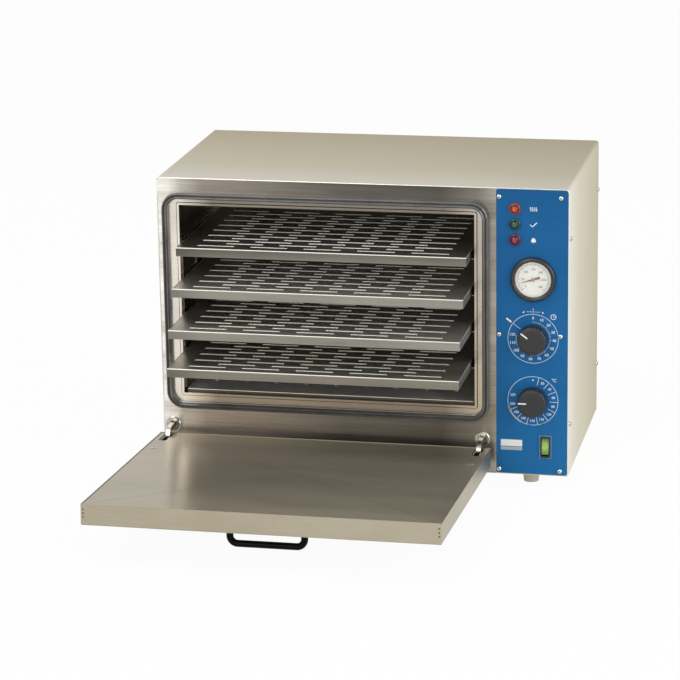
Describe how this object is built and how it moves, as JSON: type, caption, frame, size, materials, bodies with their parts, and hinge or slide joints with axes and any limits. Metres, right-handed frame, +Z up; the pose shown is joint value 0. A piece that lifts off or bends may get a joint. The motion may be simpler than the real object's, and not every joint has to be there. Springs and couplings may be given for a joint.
{
  "type": "dry heat sterilizer",
  "caption": "Bench-top dry heat sterilizer: box casing, insulated chamber with slotted trays, drop-down door, side control panel with knobs, thermometer, pilot lamps and rocker switch.",
  "frame": {"origin": "on the table, midway between the casing's sides and midway between the open door's front edge and the casing's rear", "axes": "+Z up, +X to the right seen from the front, +Y from the open door's edge to the rear"},
  "size_m": [0.5644, 0.7162, 0.413],
  "materials": {
    "satin_steel": "satin brushed stainless sheet",
    "door_steel": "satin stainless sheet",
    "chamber_steel": "bright stainless sheet, heat-tinted",
    "tray_aluminium": "anodised, matt",
    "plated_steel": "zinc-plated",
    "copper_tube": "drawn tube",
    "heater_steel": "dark sheathed element",
    "mineral_wool": "loose fibre board",
    "silicone": "matt grey silicone",
    "blue_enamel": "semi-gloss enamel",
    "black_plastic": "fine-grained moulding",
    "foot_rubber": "pale moulded rubber",
    "bright_chrome": "polished",
    "white_dial": "matt white",
    "clear_glass": "clear",
    "amber_lens": "translucent",
    "green_lens": "translucent",
    "red_lens": "translucent",
    "green_rocker": "translucent, lit"
  },
  "bodies": {
    "housing": {"alarm_lamp_lens": "red_lens", "base_pan": "satin_steel", "chamber_insulation": "mineral_wool", "chamber_liner": "chamber_steel", "control_chassis": "satin_steel", "control_panel": "blue_enamel", "cover_screws": "plated_steel", "door_gasket": "silicone", "feet": "foot_rubber", "floor_plate": "chamber_steel", "front_plate": "satin_steel", "heating_element": "heater_steel", "heating_lamp_lens": "amber_lens", "hinge_arms": "plated_steel", "hinge_collars": "plated_steel", "inlet_pins": "plated_steel", "inlet_screws": "plated_steel", "lamp_bezels": "bright_chrome", "mains_inlet": "black_plastic", "outer_cover": "satin_steel", "panel_screws": "plated_steel", "partition": "satin_steel", "ready_lamp_lens": "green_lens", "rear_panel": "satin_steel", "rocker_frame": "black_plastic", "terminal_block": "black_plastic", "thermometer_bezel": "bright_chrome", "thermometer_case": "plated_steel", "thermometer_dial": "white_dial", "thermometer_glass": "clear_glass", "thermometer_sensor": "copper_tube", "thermostat_case": "black_plastic", "thermostat_sensor": "copper_tube", "timer_case": "black_plastic", "tray_rack_left": "chamber_steel", "tray_rack_right": "chamber_steel"},
    "door": {"door_outer_pan": "door_steel", "door_inner_sheet": "door_steel", "door_insulation": "mineral_wool", "door_handle": "black_plastic", "handle_screws": "plated_steel", "hinge_brackets": "plated_steel", "hinge_pins": "plated_steel", "bracket_rivets": "plated_steel"},
    "pointer": {"thermometer_needle": "black_plastic"},
    "timer_dial": {"timer_knob": "black_plastic", "timer_shaft": "plated_steel"},
    "thermostat_dial": {"thermostat_knob": "black_plastic", "thermostat_shaft": "plated_steel"},
    "switch_rocker": {"rocker": "green_rocker"},
    "tray_1": {"tray_1": "tray_aluminium"},
    "tray_2": {"tray_2": "tray_aluminium"},
    "tray_3": {"tray_3": "tray_aluminium"},
    "tray_4": {"tray_4": "tray_aluminium"}
  },
  "joints": [
    {"name": "door_hinge", "type": "hinge", "parent": "housing", "child": "door", "pos_m": [-0.051, 0.01095, 0.0407], "axis": [-1, 0, 0], "range_deg": [0, 86.26]},
    {"name": "tray_1_slide", "type": "slide", "parent": "housing", "child": "tray_1", "axis": [0, 1, 0], "range_m": [-0.1093, 0.0437]},
    {"name": "tray_2_slide", "type": "slide", "parent": "housing", "child": "tray_2", "axis": [0, 1, 0], "range_m": [-0.0832, 0.0698]},
    {"name": "tray_3_slide", "type": "slide", "parent": "housing", "child": "tray_3", "axis": [0, 1, 0], "range_m": [-0.0569, 0.0961]},
    {"name": "tray_4_slide", "type": "slide", "parent": "housing", "child": "tray_4", "axis": [0, 1, 0], "range_m": [-0.0475, 0.1055]},
    {"name": "thermometer_pointer", "type": "hinge", "parent": "housing", "child": "pointer", "pos_m": [0.23265, 0.04015, 0.2906], "axis": [0, 1, 0], "range_deg": [-27, 243]},
    {"name": "timer_turn", "type": "hinge", "parent": "housing", "child": "timer_dial", "pos_m": [0.23265, 0.04015, 0.2089], "axis": [0, 1, 0], "range_deg": [0, 343]},
    {"name": "thermostat_turn", "type": "hinge", "parent": "housing", "child": "thermostat_dial", "pos_m": [0.23265, 0.04015, 0.1226], "axis": [0, 1, 0], "range_deg": [-270, 10]},
    {"name": "switch_tilt", "type": "hinge", "parent": "housing", "child": "switch_rocker", "pos_m": [0.24965, 0.04515, 0.0584], "axis": [1, 0, 0], "range_deg": [0, 18]}
  ],
  "couplings": [
    {"joint": "tray_1_slide", "follows": "door_hinge", "m_per_rad": 0.029026},
    {"joint": "tray_2_slide", "follows": "door_hinge", "m_per_rad": 0.046363},
    {"joint": "tray_3_slide", "follows": "door_hinge", "m_per_rad": 0.063832},
    {"joint": "tray_4_slide", "follows": "door_hinge", "m_per_rad": 0.070075}
  ]
}
